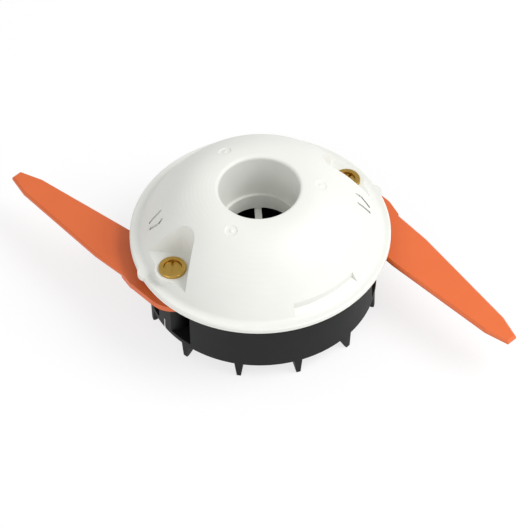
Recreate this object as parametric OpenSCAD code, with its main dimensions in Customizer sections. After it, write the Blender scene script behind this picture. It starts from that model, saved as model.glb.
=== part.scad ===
// Two-blade cutting head for a string trimmer, in millimetres.
// The head turns about Z and stands on its fin tips at z = 0.
// +X runs through the first blade pivot, and the second pivot is half a turn round.

/* [Cover] */
// Diameter over the cover's rim
cover_d = 124; // [122:1:140]
// Thickness of the flat rim
rim_t = 2.5; // [1.8:0.1:3.2]
// Width of the flat rim outside the crown's foot
rim_w = 4.3; // [3:0.1:5]
// Height of the crown above the underside of the rim
crown_h = 33.6; // [31:0.1:38]
// Fullness of the crown: higher is flatter on top and steeper at the foot
crown_power = 2.3; // [2.1:0.05:2.6]
// Thickness of the cover's wall
cover_wall = 2.4; // [1.8:0.1:2.8]
// Width of the label step in the crown's foot, measured round the head in degrees
label_angle = 36.5; // [20:0.5:50]

/* [Bore] */
// Diameter of the bore that goes over the trimmer's gearbox neck
neck_d = 38.4; // [36:0.1:40]
// Depth of the bore from the top of the crown to its ledge
neck_depth = 25.4; // [20:0.1:27]
// Width of the ledge
neck_ledge = 1.5; // [1:0.1:2]
// Rounding of the bore's mouth
lip_r = 1.6; // [1:0.1:2.2]
// Number of spokes between the bore's wall and the drive boss
spokes = 6; // [4:1:8]
// Thickness of each spoke
spoke_w = 3.3; // [2:0.1:4]

/* [Base] */
// Diameter of the base's wall
base_d = 110; // [106:1:112]
// Height of the base from the underside of its floor to the cover's rim
base_h = 31.2; // [30:0.1:38]
// Thickness of the base's wall
base_wall = 2.6; // [2:0.1:3]
// Thickness of the base's floor
floor_t = 2.5; // [2:0.1:3.5]
// Number of fins under the floor
fins = 12; // [8:1:16]
// Height of each fin below the floor
fin_h = 8.8; // [6:0.1:12]
// Slope of a fin's lower edge, in degrees from the floor
fin_slope = 35; // [30:1:50]
// How far a blade window opens ahead of its pivot, in degrees
window_lead = 18.8; // [16:0.1:22]
// How far a blade window opens behind its pivot, in degrees
window_trail = 50; // [46:0.5:56]

/* [Pivots] */
// Distance from the base's outer wall in to a pivot's axis
pivot_inset = 5.7; // [5.5:0.1:6.5]
// Outer diameter of the brass bushing that a blade turns on
bushing_d = 10; // [9.4:0.1:10.4]
// Diameter of the bushing's flange
flange_d = 13.4; // [12.6:0.1:14]
// Height of the pocket's floor above the underside of the rim
pocket_h = 7.4; // [6.5:0.1:9]
// Half the opening angle of a pivot pocket
pocket_flare = 40; // [30:1:45]
// Thread diameter of the pivot screws
pivot_thread = 6; // [5:0.5:6]
// Diameter of the slotted heads
head_d = 8.4; // [8:0.1:8.4]
// Width across the flats of the pivot nuts
nut_af = 10; // [9:0.1:10]
// Height of the pivot nuts
nut_h = 5.5; // [4:0.1:6]

/* [Blades] */
// Length of a blade from its pivot to its tip
blade_l = 112.2; // [90:0.1:130]
// Thickness of a blade
blade_t = 3.2; // [2:0.1:3.8]
// Width of a blade at its neck
blade_w = 22.4; // [19:0.1:24]
// Diameter of the eye at the blade's root
eye_d = 26.6; // [25:0.1:27.5]
// How far a blade's eye lies below the underside of the rim
blade_drop = 6.8; // [6.2:0.1:8]
// Downward slope of a blade outside its eye, in degrees
blade_slope = 5.4; // [0:0.1:6]
// Where the photographed blades stand, in degrees from pointing straight out
blade_rest = -80.2; // [-90:0.1:30]
// Width of the bevel along a blade's cutting edges
bevel = 0.9; // [0.4:0.1:1.2]

/* [Drive] */
// Thread diameter of the arbor nut, as bored
arbor_bore = 8.8; // [8:0.1:10]
// Width across the flats of the arbor nut
arbor_af = 17; // [15:0.1:17]
// Height of the arbor nut
arbor_h = 8; // [6:0.1:9]
// Distance from the axis to the three cover screws
screw_circle_r = 29.2; // [29:0.1:31]
// Diameter of the three cover screws
cover_screw_d = 4; // [3:0.1:4.5]

/* [Hidden] */
$fn = 72;

// Running clearance on radius between a blade's eye and its bushing
run_fit = 0.08;
// Clearance on radius where a fastener or bushing passes through a hole
slip_fit = 0.05;
// Clearance between a pocket and the piece held in it
seat_fit = 0.15;
// Axial play of a blade on each side
play = 0.15;
// A cut runs this far past the face that it opens
past = 1;
// Shapes of one solid run this far into each other
join = 0.5;
// Radial room round a screw's shank
shank_fit = 3 * slip_fit;

// Levels
floor_z = fin_h;
floor_top = floor_z + floor_t;
rim_z = floor_z + base_h;
crown_z = rim_z + crown_h;
pocket_z = rim_z + pocket_h;
eye_z = rim_z - blade_drop;
washer_t = 1;
upper_washer_z = eye_z + blade_t / 2 + play;
pillar_z = upper_washer_z + washer_t;
lower_washer_z = eye_z - blade_t / 2 - play - washer_t;

// Radii of the cover
rim_r = cover_d / 2;
foot_r = rim_r - rim_w;
neck_r = neck_d / 2;
neck_in_r = neck_r - neck_ledge;
neck_out_r = neck_r + cover_wall;
crown_flat_r = neck_r + 1.3;
crown_steps = 18;
crown_end_r = foot_r - 0.9;
foot_fillet = 3;
foot_angle = 62;
foot_centre_r = foot_r + 1.8;
rim_edge = 0.7;
bore_end_z = rim_z - 0.4;

// The base's wall meets the underside of the rim over this width
seat_w = 2.1;
base_r = base_d / 2;
seat_r = base_r - seat_w;
lip_h = 1.6;
lip_w = 2;
lip_root = 4;

// Pivots
pivot_r = base_r - pivot_inset;
bushing_r = bushing_d / 2;
pillar_r = 8.5;
post_r = 7.5;
washer_r = 7.8;
flange_t = 1.5;
ridge_w = 1.5;
head_sink = 1;
head_t = 2;
head_z = pocket_z + flange_t - head_sink - head_t;
slot_w = 1.2;
slot_depth = 1.1;
pivot_screw_r = pivot_thread / 2;
nut_recess = 0.7;
pivot_nut_z = floor_z + nut_recess;
nut_seat_z = pivot_nut_z + nut_h;
pocket_round = 7.6;
pocket_back = 3.9;
pocket_wall = 2.2;
flank_in = 0.04;

// Slits beside each pocket: distance from the axis and angle behind the pivot
slit_w = 1.3;
slit_a = [[46.3, -31.6], [52.4, -30.9]];
slit_b = [[46.1, -25.0], [48.4, -23.9], [52.4, -27.1]];

// Label step
label_r = 54;
label_turn = -88.4;
label_rise = 5.6;
label_fall = 3.0;

// Tabs on the rim
tab_r = 4.4;
tab_out = 1.3;
tab_turn = -9;

// Drive
spoke_top = rim_z - 1.6;
spoke_h = 4;
boss_r = 11;
hub_z = rim_z - 9;
hub_r = 13;
sleeve_r = 7;
shaft_r = 5.2;
sleeve_rise = 0.6;
arbor_washer_r = 10;
arbor_washer_t = 1.5;
arbor_nut_z = hub_z - arbor_washer_t - arbor_h;

// Cover screws
screw_turns = [90, 210, 330];
screw_r = cover_screw_d / 2;
screw_post_r = 4.6;
screw_foot_r = 5.9;
screw_foot_h = 8;
screw_seat_z = floor_z + 5.2;
screw_head_r = 3.8;
screw_head_t = 2.4;
screw_cross_l = 4.4;
screw_tip_z = rim_z + 12;
screw_point_h = 2;
screw_point_r = 0.4;
mark_r = 3.5;
mark_depth = 0.45;
mark_tilt = 16;
mark_bump_r = 2.2;

// Fins and ribs
fin_turn = 15;
fin_root_w = 4.3;
fin_tip_w = 1.9;
fin_tip_l = 1.6;
fin_edge = 0.4;
fin_r = base_r - 0.1;
rib_t = 2.2;
rib_top = floor_top + 13;

// Blade outline, measured out from the pivot along the blade
bend_x = 14;
shoulder_x = 16;
neck_x = 25;
taper_x = 43;
tip_x = blade_l - 12;
shoulder_w = eye_d + 0.2;
tip_shoulder_w = 12.2;
tip_w = 5.4;
blade_edge = [
    [neck_x, -blade_w / 2], [taper_x, -blade_w / 2], [tip_x, -tip_shoulder_w / 2], [blade_l, -tip_w / 2],
    [blade_l, tip_w / 2], [tip_x, tip_shoulder_w / 2], [taper_x, blade_w / 2], [neck_x, blade_w / 2]
];

function crown_at(r, foot, low, high) =
    low + (high - low) * (1 - pow(max(0, (r - crown_flat_r) / (foot - crown_flat_r)), crown_power));
function outer_crown(r) = crown_at(r, foot_r, rim_z + rim_t, crown_z);
function inner_crown(r) =
    crown_at(r, foot_r - cover_wall / sin(foot_angle), rim_z + rim_t, crown_z - cover_wall);
function on_circle(r, turn) = [r * cos(turn), r * sin(turn)];
function on_slope(p) = [(p[0] - bend_x) / cos(blade_slope), p[1]];

// Places things at both pivots, turned so that +X points straight out
module at_pivots() {
    for (turn = [0, 180]) rotate(turn) children();
}

module ring(r_out, r_in, z, h) {
    translate([0, 0, z]) difference() {
        cylinder(r = r_out, h = h);
        translate([0, 0, -past]) cylinder(r = r_in, h = h + 2 * past);
    }
}

module hexagon(across, z, h) {
    translate([0, 0, z]) cylinder(r = across / 2 / cos(30), h = h, $fn = 6);
}

// A straight strip of width w from p to q
module strip(p, q, w) {
    along = q - p;
    side = [-along[1], along[0]] / norm(along) * w / 2;
    polygon([p - side, q - side, q + side, p + side]);
}

// Top cover

module crown_section() {
    lip_c = [neck_r + lip_r, crown_z - lip_r];
    fillet_c = [foot_centre_r, rim_z + rim_t + foot_fillet];
    polygon(concat(
        [[neck_in_r, bore_end_z], [neck_in_r, crown_z - neck_depth],
         [neck_r, crown_z - neck_depth], [neck_r, lip_c[1]]],
        [for (a = [150, 120, 90]) lip_c + on_circle(lip_r, a)],
        [for (i = [1:crown_steps])
            let (r = crown_flat_r + (crown_end_r - crown_flat_r) * i / crown_steps) [r, outer_crown(r)]],
        [for (a = [220:12.5:270]) fillet_c + on_circle(foot_fillet, a)],
        [[rim_r - rim_edge, rim_z + rim_t], [rim_r, rim_z + rim_t - rim_edge]],
        [[rim_r, rim_z], [seat_r, rim_z]],
        [for (i = [0:crown_steps])
            let (r = seat_r - (seat_r - neck_out_r) * i / crown_steps) [r, inner_crown(r)]],
        [[neck_out_r, bore_end_z]]
    ));
}

// The space under the crown's outer skin, which the inner walls fill up to
module crown_inside() {
    low_r = foot_r - join;
    rotate_extrude() polygon(concat(
        [[neck_r + lip_r, rim_z], [neck_r + lip_r, crown_z - join]],
        [for (i = [1:crown_steps])
            let (r = crown_flat_r + (low_r - crown_flat_r) * i / crown_steps) [r, outer_crown(r) - join]],
        [[foot_r, rim_z]]
    ));
}

// Plan of a pivot pocket: round at the back, opening outwards
module pocket_plan(grow) {
    r = pocket_round + grow;
    c = pivot_r - pocket_back;
    reach = rim_r - c + tab_r;
    touch = [c, 0] + (r - flank_in) * [-sin(pocket_flare), cos(pocket_flare)];
    far = touch + [reach, reach * tan(pocket_flare)];
    translate([c, 0]) circle(r = r);
    polygon([touch, far, [far[0], -far[1]], [touch[0], -touch[1]]]);
}

module pivot_pocket() {
    translate([0, 0, pocket_z]) linear_extrude(height = crown_h) pocket_plan(0);
}

module pocket_cup() {
    intersection() {
        crown_inside();
        translate([0, 0, pocket_z - cover_wall]) linear_extrude(height = crown_h)
            pocket_plan(pocket_wall);
    }
}

module side_slits() {
    translate([0, 0, rim_z + rim_t + join]) linear_extrude(height = crown_h)
        for (line = [slit_a, slit_b])
            for (i = [1:len(line) - 1])
                strip(on_circle(line[i - 1][0], line[i - 1][1]), on_circle(line[i][0], line[i][1]), slit_w);
}

module label_step() {
    rotate(label_turn - label_angle / 2) rotate_extrude(angle = label_angle) polygon([
        [label_r, rim_z + label_rise], [foot_r + join, rim_z + label_fall],
        [rim_r, rim_z + label_fall], [rim_r, rim_z + crown_h / 2], [label_r, rim_z + crown_h / 2]
    ]);
}

// Shallow dish with a low point in it, over each screw post
module sink_mark() {
    translate([screw_circle_r, 0, outer_crown(screw_circle_r)]) rotate([0, mark_tilt, 0]) difference() {
        translate([0, 0, -mark_depth])
            cylinder(r1 = mark_r - 2 * mark_depth, r2 = mark_r + past, h = mark_depth + past);
        translate([0, 0, -mark_bump_r]) sphere(r = mark_bump_r - 0.1);
    }
}

module hub_spider() {
    translate([0, 0, hub_z]) cylinder(r = boss_r, h = spoke_top - hub_z);
    for (i = [0:spokes - 1]) rotate(i * 360 / spokes) translate([0, -spoke_w / 2, spoke_top - spoke_h]) {
        translate([boss_r - past, 0, 0]) cube([neck_out_r - join - boss_r + past, spoke_w, spoke_h]);
        translate([neck_in_r + join, 0, 0]) cube([neck_out_r - neck_in_r - 2 * join, spoke_w, spoke_h + 3]);
    }
}

module top_cover() color([0.87, 0.88, 0.86]) difference() {
    union() {
        rotate_extrude() crown_section();
        at_pivots() {
            pocket_cup();
            translate([pivot_r, 0, pillar_z]) cylinder(r = pillar_r, h = pocket_z - pillar_z);
            rotate(tab_turn) translate([rim_r - tab_r + tab_out, 0, rim_z])
                cylinder(r = tab_r, h = rim_t);
        }
        for (turn = screw_turns) rotate(turn) translate([screw_circle_r, 0, rim_z])
            cylinder(r = screw_post_r, h = outer_crown(screw_circle_r + screw_post_r) - join - rim_z);
        hub_spider();
    }
    at_pivots() {
        pivot_pocket();
        side_slits();
        translate([pivot_r, 0, pillar_z - past])
            cylinder(r = bushing_r + slip_fit, h = pocket_z - pillar_z + 2 * past);
    }
    for (turn = screw_turns) rotate(turn) {
        sink_mark();
        translate([screw_circle_r, 0, rim_z - past])
            cylinder(r = screw_r + slip_fit, h = screw_tip_z - rim_z + 2 * past);
    }
    label_step();
    translate([0, 0, hub_z - past])
        cylinder(r = sleeve_r + slip_fit, h = spoke_top - hub_z + 2 * past);
}

// Base housing

// A tapered plate under the floor, flush with the wall
module fin() {
    fin_l = fin_tip_l + (fin_h + past) / tan(fin_slope);
    intersection() {
        rotate_extrude() polygon([
            [0, 0], [fin_r - fin_edge, 0], [fin_r, fin_edge], [fin_r, floor_z + past], [0, floor_z + past]
        ]);
        translate([0, fin_root_w / 2, 0]) rotate([90, 0, 0]) linear_extrude(height = fin_root_w)
            polygon([
                [base_r + past, floor_z + past], [base_r + past, 0],
                [base_r - fin_tip_l, 0], [base_r - fin_l, floor_z + past]
            ]);
        rotate([90, 0, 90]) linear_extrude(height = base_r + past)
            polygon([
                [-fin_root_w / 2, floor_z + past], [-fin_tip_w / 2, 0],
                [fin_tip_w / 2, 0], [fin_root_w / 2, floor_z + past]
            ]);
    }
}

module window_cut() {
    inner_r = seat_r - lip_w - past;
    rotate(-window_trail) translate([0, 0, floor_top])
        rotate_extrude(angle = window_trail + window_lead)
            translate([inner_r, 0]) square([rim_r - inner_r, base_h]);
}

module base_shell() {
    difference() {
        translate([0, 0, floor_z]) cylinder(r = base_r, h = base_h);
        translate([0, 0, floor_top]) cylinder(r = base_r - base_wall, h = base_h);
    }
    lip_r_out = seat_r - 2 * seat_fit;
    ring(base_r - base_wall + join, lip_r_out - lip_w, rim_z - lip_root, lip_root - join);
    ring(lip_r_out, lip_r_out - lip_w, rim_z - lip_root, lip_root + lip_h);
}

module pivot_post() {
    intersection() {
        translate([pivot_r, 0, floor_z]) cylinder(r = post_r, h = lower_washer_z - floor_z);
        cylinder(r = base_r, h = rim_z);
    }
    translate([hub_r - past, -rib_t / 2, floor_z])
        cube([pivot_r - hub_r - post_r + 2 * past, rib_t, rib_top - floor_z]);
}

module screw_post() {
    translate([screw_circle_r, 0, floor_z]) cylinder(r = screw_foot_r, h = screw_foot_h);
    translate([screw_circle_r, 0, floor_z]) cylinder(r = screw_post_r, h = base_h);
    translate([hub_r - past, -rib_t / 2, floor_z])
        cube([screw_circle_r - hub_r, rib_t, rib_top - floor_z]);
}

module base_housing() color([0.11, 0.11, 0.11]) difference() {
    union() {
        difference() {
            base_shell();
            at_pivots() window_cut();
        }
        translate([0, 0, floor_z]) cylinder(r = hub_r, h = hub_z - floor_z);
        at_pivots() pivot_post();
        for (turn = screw_turns) rotate(turn) screw_post();
        for (i = [0:fins - 1]) rotate(fin_turn + i * 360 / fins) fin();
    }
    at_pivots() translate([pivot_r, 0, 0]) {
        translate([0, 0, floor_z - past])
            cylinder(r = pivot_screw_r + shank_fit, h = base_h);
        hexagon(nut_af + 2 * seat_fit, floor_z - past, nut_seat_z - floor_z + past);
    }
    for (turn = screw_turns) rotate(turn) translate([screw_circle_r, 0, 0]) {
        translate([0, 0, floor_z - past])
            cylinder(r = screw_head_r + 2 * seat_fit, h = screw_seat_z - floor_z + past);
        cylinder(r = screw_r + slip_fit, h = rim_z + past);
    }
    translate([0, 0, hub_z - arbor_washer_t])
        cylinder(r = arbor_washer_r + seat_fit, h = arbor_washer_t + past);
    hexagon(arbor_af + 2 * seat_fit, arbor_nut_z, arbor_h + past);
    translate([0, 0, floor_z - past]) cylinder(r = shaft_r, h = base_h);
}

// Blades, drawn pointing along +X with the pivot at the origin and the eye's middle at z = 0

module blade_plan() {
    circle(d = eye_d);
    polygon(concat(
        [[0, -shoulder_w / 2], [shoulder_x, -shoulder_w / 2]],
        blade_edge,
        [[shoulder_x, shoulder_w / 2], [0, shoulder_w / 2]]
    ));
}

// Seen from the side: flat at the eye, then sloping down
module blade_side() {
    end_x = blade_l + past;
    drop = (end_x - bend_x) * tan(blade_slope);
    polygon([
        [-eye_d, -blade_t / 2], [bend_x, -blade_t / 2], [end_x, -blade_t / 2 - drop],
        [end_x, blade_t / 2 - drop], [bend_x, blade_t / 2], [-eye_d, blade_t / 2]
    ]);
}

// Takes the corner off the upper and lower face along the edge from p to q
module edge_bevel(p, q) {
    from = on_slope(p);
    along = on_slope(q) - from;
    half = blade_t / 2 * cos(blade_slope);
    translate([bend_x, 0, 0]) rotate([0, blade_slope, 0])
        translate([from[0], from[1], 0]) rotate(atan2(along[1], along[0]))
            translate([-past, 0, 0]) rotate([90, 0, 90]) linear_extrude(height = norm(along) + 2 * past)
                for (face = [-1, 1]) polygon([
                    [-past, face * (half + past)], [-past, face * (half - bevel - past)],
                    [bevel + past, face * (half + past)]
                ]);
}

module blade() color([0.87, 0.42, 0.21]) difference() {
    intersection() {
        translate([0, 0, -blade_l / 2]) linear_extrude(height = blade_l) blade_plan();
        translate([0, eye_d, 0]) rotate([90, 0, 0]) linear_extrude(height = 2 * eye_d) blade_side();
    }
    for (i = [1:len(blade_edge) - 1]) edge_bevel(blade_edge[i - 1], blade_edge[i]);
    translate([0, 0, -blade_t]) cylinder(r = bushing_r + run_fit, h = 2 * blade_t);
}

module blade_at(turn) {
    rotate(turn) translate([pivot_r, 0, eye_z]) rotate(blade_rest) blade();
}

// Pivot hardware, drawn at its true height on the pivot's axis

module pivot_bushing() color([0.69, 0.55, 0.25]) {
    top = pocket_z + flange_t;
    ridge_r = ridge_w / 2;
    ridge_x = flange_d / 2 - ridge_r;
    rotate_extrude() difference() {
        union() {
            translate([0, lower_washer_z]) square([bushing_r, pocket_z - lower_washer_z + join]);
            translate([0, pocket_z]) square([ridge_x, flange_t]);
            translate([ridge_x, pocket_z]) square([ridge_r, flange_t - ridge_r]);
            translate([ridge_x, top - ridge_r]) circle(r = ridge_r);
        }
        translate([-past, lower_washer_z - past])
            square([past + pivot_screw_r + shank_fit, base_h + crown_h]);
        translate([-past, head_z]) square([past + head_d / 2 + seat_fit, base_h]);
    }
}

module pivot_screw(slot_turn) color([0.71, 0.57, 0.27]) difference() {
    union() {
        translate([0, 0, head_z]) cylinder(r = head_d / 2, h = head_t);
        translate([0, 0, pivot_nut_z]) cylinder(r = pivot_screw_r, h = head_z + join - pivot_nut_z);
    }
    translate([0, 0, head_z + head_t]) rotate(slot_turn)
        cube([2 * head_d, slot_w, 2 * slot_depth], center = true);
}

module pivot_nut() color([0.65, 0.66, 0.67]) difference() {
    hexagon(nut_af, pivot_nut_z, nut_h);
    translate([0, 0, pivot_nut_z - past]) cylinder(r = pivot_screw_r + slip_fit, h = nut_h + 2 * past);
}

module wear_washer(z) color([0.66, 0.67, 0.68]) ring(washer_r, bushing_r + 2 * slip_fit, z, washer_t);

module at_pivot(turn) {
    rotate(turn) translate([pivot_r, 0, 0]) rotate(-turn) children();
}

// Cover screws and drive parts

module cover_screw() color([0.6, 0.61, 0.62]) {
    point_z = screw_tip_z - screw_point_h;
    difference() {
        union() {
            translate([0, 0, screw_seat_z - screw_head_t]) cylinder(r = screw_head_r, h = screw_head_t);
            translate([0, 0, screw_seat_z - join]) cylinder(r = screw_r, h = point_z - screw_seat_z + join);
            translate([0, 0, point_z]) cylinder(r1 = screw_r, r2 = screw_point_r, h = screw_point_h);
        }
        for (turn = [0, 90]) rotate(turn) translate([0, 0, screw_seat_z - screw_head_t])
            cube([screw_cross_l, 1, screw_head_t], center = true);
    }
}

module cover_screw_at(turn) {
    rotate(turn) translate([screw_circle_r, 0, 0]) cover_screw();
}

module arbor_sleeve() color([0.62, 0.63, 0.64])
    ring(sleeve_r, shaft_r, hub_z, spoke_top - hub_z + sleeve_rise);

module arbor_washer() color([0.66, 0.67, 0.68])
    ring(arbor_washer_r, shaft_r, hub_z - arbor_washer_t, arbor_washer_t);

module arbor_nut() color([0.58, 0.59, 0.6]) difference() {
    hexagon(arbor_af, arbor_nut_z, arbor_h);
    translate([0, 0, arbor_nut_z - past]) cylinder(d = arbor_bore, h = arbor_h + 2 * past);
}

top_cover();
base_housing();
blade_at(0);  // blade_1
blade_at(180);  // blade_2
at_pivot(0) pivot_bushing();  // pivot_bushing_1
at_pivot(180) pivot_bushing();  // pivot_bushing_2
at_pivot(0) pivot_screw(24);  // pivot_screw_1
at_pivot(180) pivot_screw(57.6);  // pivot_screw_2
at_pivot(0) pivot_nut();  // pivot_nut_1
at_pivot(180) pivot_nut();  // pivot_nut_2
at_pivot(0) wear_washer(upper_washer_z);  // upper_washer_1
at_pivot(180) wear_washer(upper_washer_z);  // upper_washer_2
at_pivot(0) wear_washer(lower_washer_z);  // lower_washer_1
at_pivot(180) wear_washer(lower_washer_z);  // lower_washer_2
cover_screw_at(screw_turns[0]);  // cover_screw_1
cover_screw_at(screw_turns[1]);  // cover_screw_2
cover_screw_at(screw_turns[2]);  // cover_screw_3
arbor_sleeve();
arbor_washer();
arbor_nut();
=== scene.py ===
import math

import bpy
from mathutils import Matrix, Vector

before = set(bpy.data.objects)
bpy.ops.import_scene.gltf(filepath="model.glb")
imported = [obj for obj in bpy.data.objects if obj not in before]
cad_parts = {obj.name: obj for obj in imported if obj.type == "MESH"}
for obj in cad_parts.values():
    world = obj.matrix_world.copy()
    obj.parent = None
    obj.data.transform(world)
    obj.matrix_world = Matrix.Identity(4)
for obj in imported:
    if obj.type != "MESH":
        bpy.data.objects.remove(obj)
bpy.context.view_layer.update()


# shader maths

class Wire:                                   # a socket that can be added, subtracted, scaled and raised to a power
    def __init__(self, paint, socket):
        self.paint, self.socket = paint, socket

    def __add__(self, other): return self.paint.math("ADD", self, other)
    def __radd__(self, other): return self.paint.math("ADD", other, self)
    def __sub__(self, other): return self.paint.math("SUBTRACT", self, other)
    def __rsub__(self, other): return self.paint.math("SUBTRACT", other, self)
    def __mul__(self, other): return self.paint.math("MULTIPLY", self, other)
    def __rmul__(self, other): return self.paint.math("MULTIPLY", other, self)
    def __pow__(self, other): return self.paint.math("POWER", self, other)


class Paint:                                  # one material and its nodes
    def __init__(self, name):
        self.material = bpy.data.materials.new(name)
        self.material.use_nodes = True
        self.tree = self.material.node_tree
        self.tree.nodes.clear()

    def node(self, kind, settings=None, out=0, **sockets):
        made = self.tree.nodes.new(kind)
        for key, value in (settings or {}).items():
            if key == "stops":                # a ramp's stops: (place, grey or colour)
                ramp = made.color_ramp
                while len(ramp.elements) < len(value):
                    ramp.elements.new(0.5)
                for stop, (place, tone) in zip(ramp.elements, value):
                    stop.position = place
                    stop.color = (tone, tone, tone, 1) if isinstance(tone, (int, float)) else (*tone, 1)
            else:
                setattr(made, key, value)
        for key, value in sockets.items():
            where = int(key[2:]) if key.startswith("in") and key[2:].isdigit() else key.replace("_", " ")
            self.put(made.inputs[where], value)
        return Wire(self, made.outputs[out]) if made.outputs else made

    def put(self, socket, value):
        if isinstance(value, Wire):
            self.tree.links.new(value.socket, socket)
        elif value is not None:
            socket.default_value = value

    def math(self, operation, a, b=None, clamp=False):
        return self.node("ShaderNodeMath", {"operation": operation, "use_clamp": clamp}, in0=a, in1=b)

    def mix(self, mask, low, high):           # colours
        return self.node("ShaderNodeMix", {"data_type": "RGBA"}, out=2, in0=mask,
                         in6=self.rgba(low), in7=self.rgba(high))

    def rgba(self, colour):
        return colour if isinstance(colour, Wire) else (*colour, 1)

    def place(self):                          # metres in the row frame, carried along by the piece
        return self.node("ShaderNodeTexCoord", out=3)

    def axes(self, point):
        parts = self.node("ShaderNodeSeparateXYZ", Vector=point).socket.node
        return [Wire(self, socket) for socket in parts.outputs]

    def noise(self, scale, detail=3.0, rough=0.5, point=None):
        return self.node("ShaderNodeTexNoise", Vector=point or self.place(), Scale=scale, Detail=detail,
                         Roughness=rough)

    def bump(self, height, strength, distance):
        return self.node("ShaderNodeBump", Height=height, Strength=strength, Distance=distance)

    def finish(self, **sockets):
        shader = self.node("ShaderNodeBsdfPrincipled", **sockets)
        self.node("ShaderNodeOutputMaterial", Surface=shader)
        return self.material


def linear(r, g, b):                          # from 0-255 screen values
    return tuple((v / 255 / 12.92) if v <= 10 else ((v / 255 + 0.055) / 1.055) ** 2.4 for v in (r, g, b))


def dress(material, *names):                  # puts a material on CAD nodes
    for name in names:
        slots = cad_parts[name].data.materials
        slots.clear()
        slots.append(material)


# finishes

cover = {"colour": linear(230, 231, 226), "shade": linear(222, 223, 217), "rough": 0.42, "grain": 2600}
base = {"colour": linear(20, 21, 21), "rough": 0.5, "sheen": 0.25, "grain": 1900}
blade = {"colour": linear(224, 108, 52), "shade": linear(212, 98, 46), "rough": 0.38, "grain": 1500}
brass = {"colour": linear(206, 170, 92), "dull": linear(184, 146, 70), "rough": 0.24}
steel = {"colour": linear(176, 178, 182), "rough": 0.35}


def coverPaint():
    p = Paint("coverPlastic")
    soft = p.noise(38, 2)
    fine = p.noise(cover["grain"], 2)
    return p.finish(Base_Color=p.mix(soft, cover["shade"], cover["colour"]),
                    Roughness=cover["rough"] + 0.08 * soft,
                    Normal=p.bump(fine, 0.08, 0.0001))


def basePaint():
    p = Paint("basePlastic")
    fine = p.noise(base["grain"], 3)
    soft = p.noise(60, 2)
    return p.finish(Base_Color=(*base["colour"], 1), Specular_IOR_Level=base["sheen"],
                    Roughness=base["rough"] + 0.1 * soft,
                    Normal=p.bump(fine, 0.15, 0.0002))


def bladePaint():
    p = Paint("bladePlastic")
    soft = p.noise(45, 3)
    fine = p.noise(blade["grain"], 3)
    return p.finish(Base_Color=p.mix(soft, blade["shade"], blade["colour"]),
                    Roughness=blade["rough"] + 0.1 * soft,
                    Normal=p.bump(fine, 0.08, 0.0002))


def brassPaint():
    p = Paint("turnedBrass")
    stain = p.noise(420, 4, 0.6)
    return p.finish(Base_Color=p.mix(stain, brass["dull"], brass["colour"]), Metallic=1.0,
                    Roughness=brass["rough"] + 0.12 * stain)


def steelPaint():
    p = Paint("zincSteel")
    stain = p.noise(300, 3)
    return p.finish(Base_Color=(*steel["colour"], 1), Metallic=1.0, Roughness=steel["rough"] + 0.1 * stain)


dress(coverPaint(), "top_cover")
dress(basePaint(), "base_housing")
dress(bladePaint(), "blade_1", "blade_2")
dress(brassPaint(), "pivot_bushing_1", "pivot_bushing_2", "pivot_screw_1", "pivot_screw_2")
dress(steelPaint(), "pivot_nut_1", "pivot_nut_2", "upper_washer_1", "upper_washer_2", "lower_washer_1",
      "lower_washer_2", "cover_screw_1", "cover_screw_2", "cover_screw_3", "arbor_sleeve", "arbor_washer",
      "arbor_nut")
print("finishes on", len(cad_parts), "pieces")


# stage, lights and camera

stage = {"turn": -32.4, "floor": (0.93, 0.93, 0.93), "white": 0.75, "size": 6.0, "sky": 0.62}
camera = {"elevation": 48.561, "focal": 5736.68, "width": 528, "sensor": 36.0, "unit": 0.062,
          "rim": 0.040, "across": -0.0225, "up": 0.2253, "away": 43.9151, "roll": -1.5526}

screenRight = Vector((math.cos(math.radians(stage["turn"])), math.sin(math.radians(stage["turn"])), 0))
screenAway = Vector((-screenRight.y, screenRight.x, 0))
upward = Vector((0, 0, 1))


def inPhoto(right, away, up):                 # a direction or place given as the photo shows it
    return screenRight * right + screenAway * away + upward * up


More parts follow.
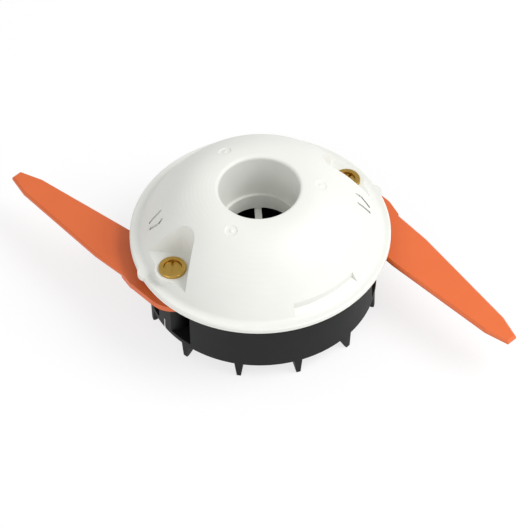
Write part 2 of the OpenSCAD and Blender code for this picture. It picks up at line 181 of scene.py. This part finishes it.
def makeFloor():
    half = stage["size"] / 2
    mesh = bpy.data.meshes.new("floor")
    mesh.from_pydata([(-half, -half, 0), (half, -half, 0), (half, half, 0), (-half, half, 0)], [], [(0, 1, 2, 3)])
    floor = bpy.data.objects.new("floor", mesh)
    bpy.context.scene.collection.objects.link(floor)
    p = Paint("floorPaint")
    matt = p.node("ShaderNodeBsdfDiffuse", Color=(*stage["floor"], 1))
    white = p.node("ShaderNodeEmission", Color=(1, 1, 1, 1), Strength=1.0)
    rays = [p.node("ShaderNodeLightPath", out=kind) for kind in ("Is Camera Ray", "Is Glossy Ray")]
    seen = p.math("MAXIMUM", rays[0], rays[1]) * stage["white"]
    both = p.node("ShaderNodeMixShader", in0=seen, in1=matt, in2=white)
    p.node("ShaderNodeOutputMaterial", Surface=both)
    mesh.materials.append(p.material)


def makeSky():
    world = bpy.data.worlds.new("studio")
    bpy.context.scene.world = world
    world.use_nodes = True
    tree = world.node_tree
    tree.nodes["Background"].inputs["Color"].default_value = (1, 1, 1, 1)
    tree.nodes["Background"].inputs["Strength"].default_value = stage["sky"]


def makeLamp(name, at, size, power):
    data = bpy.data.lights.new(name, "AREA")
    data.shape, data.size, data.energy = "DISK", size, power
    lamp = bpy.data.objects.new(name, data)
    lamp.location = inPhoto(*at)
    lamp.rotation_euler = (-lamp.location).to_track_quat("-Z", "Y").to_euler()
    bpy.context.scene.collection.objects.link(lamp)


def makeCamera():
    tilt, roll = math.radians(camera["elevation"]), math.radians(camera["roll"])
    up = screenAway * math.sin(tilt) + upward * math.cos(tilt)
    ahead = screenAway * math.cos(tilt) - upward * math.sin(tilt)
    unit = camera["unit"]
    place = upward * camera["rim"] - unit * (
        camera["across"] * screenRight + camera["up"] * up + camera["away"] * ahead)
    turnedRight = math.cos(roll) * screenRight + math.sin(roll) * up
    turnedUp = math.cos(roll) * up - math.sin(roll) * screenRight
    data = bpy.data.cameras.new("photo")
    data.sensor_width = camera["sensor"]
    data.lens = camera["focal"] / camera["width"] * camera["sensor"]
    data.clip_end = 20
    eye = bpy.data.objects.new("photo", data)
    eye.matrix_world = Matrix((
        (turnedRight.x, turnedUp.x, -ahead.x, place.x),
        (turnedRight.y, turnedUp.y, -ahead.y, place.y),
        (turnedRight.z, turnedUp.z, -ahead.z, place.z),
        (0, 0, 0, 1)))
    bpy.context.scene.collection.objects.link(eye)
    bpy.context.scene.camera = eye


makeFloor()
makeSky()
makeLamp("key", (0.9, -0.2, 1.1), 0.9, 14)
makeLamp("fill", (-0.9, -1.1, 0.8), 1.0, 4)
makeCamera()
bpy.context.scene.view_settings.view_transform = "Standard"
print("stage, lights and camera")
